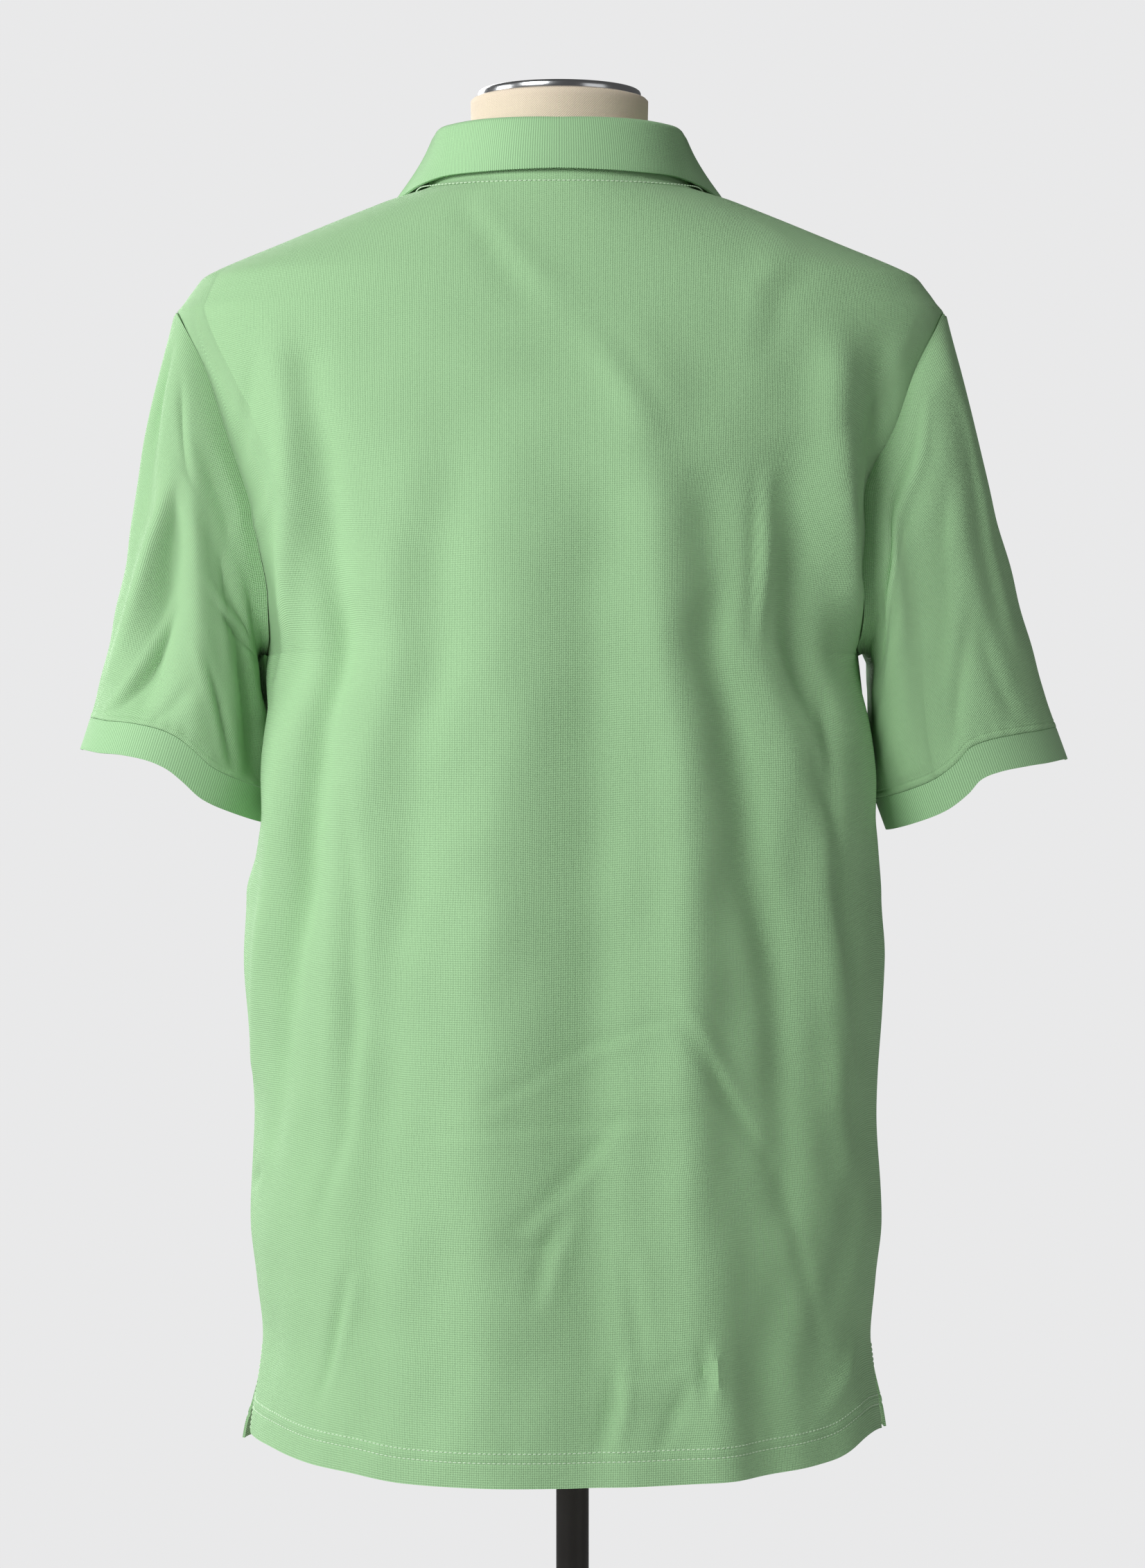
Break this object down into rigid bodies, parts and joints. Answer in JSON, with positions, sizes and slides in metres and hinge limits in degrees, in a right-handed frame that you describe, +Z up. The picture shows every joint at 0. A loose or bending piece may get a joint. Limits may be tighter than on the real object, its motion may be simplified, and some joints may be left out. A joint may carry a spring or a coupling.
{
  "type": "polo shirt on a dress form",
  "caption": "Short-sleeved pique polo shirt with a rib collar, worn by a limbless linen dress form on a pole and a round base.",
  "frame": {"origin": "on the floor, in the middle of the base plate's underside", "axes": "+Z up, +X to the wearer's left, the front of the shirt faces -Y"},
  "size_m": [0.6056, 0.36, 1.5632],
  "materials": {
    "pique": "matt light green cotton pique",
    "rib": "matt light green rib knit",
    "button": "pale green, satin",
    "linen": "beige linen weave",
    "chrome": "polished",
    "dark_metal": "near-black satin"
  },
  "bodies": {
    "root": {"back": "pique", "front": "pique", "sleeve_left": "pique", "sleeve_right": "pique", "placket_over": "pique", "placket_under": "pique", "collar": "rib", "cuff_left": "rib", "cuff_right": "rib", "button_1": "button", "button_2": "button", "button_3": "button", "form_torso": "linen", "neck_cap": "chrome", "pole": "dark_metal", "base": "dark_metal"}
  },
  "joints": []
}
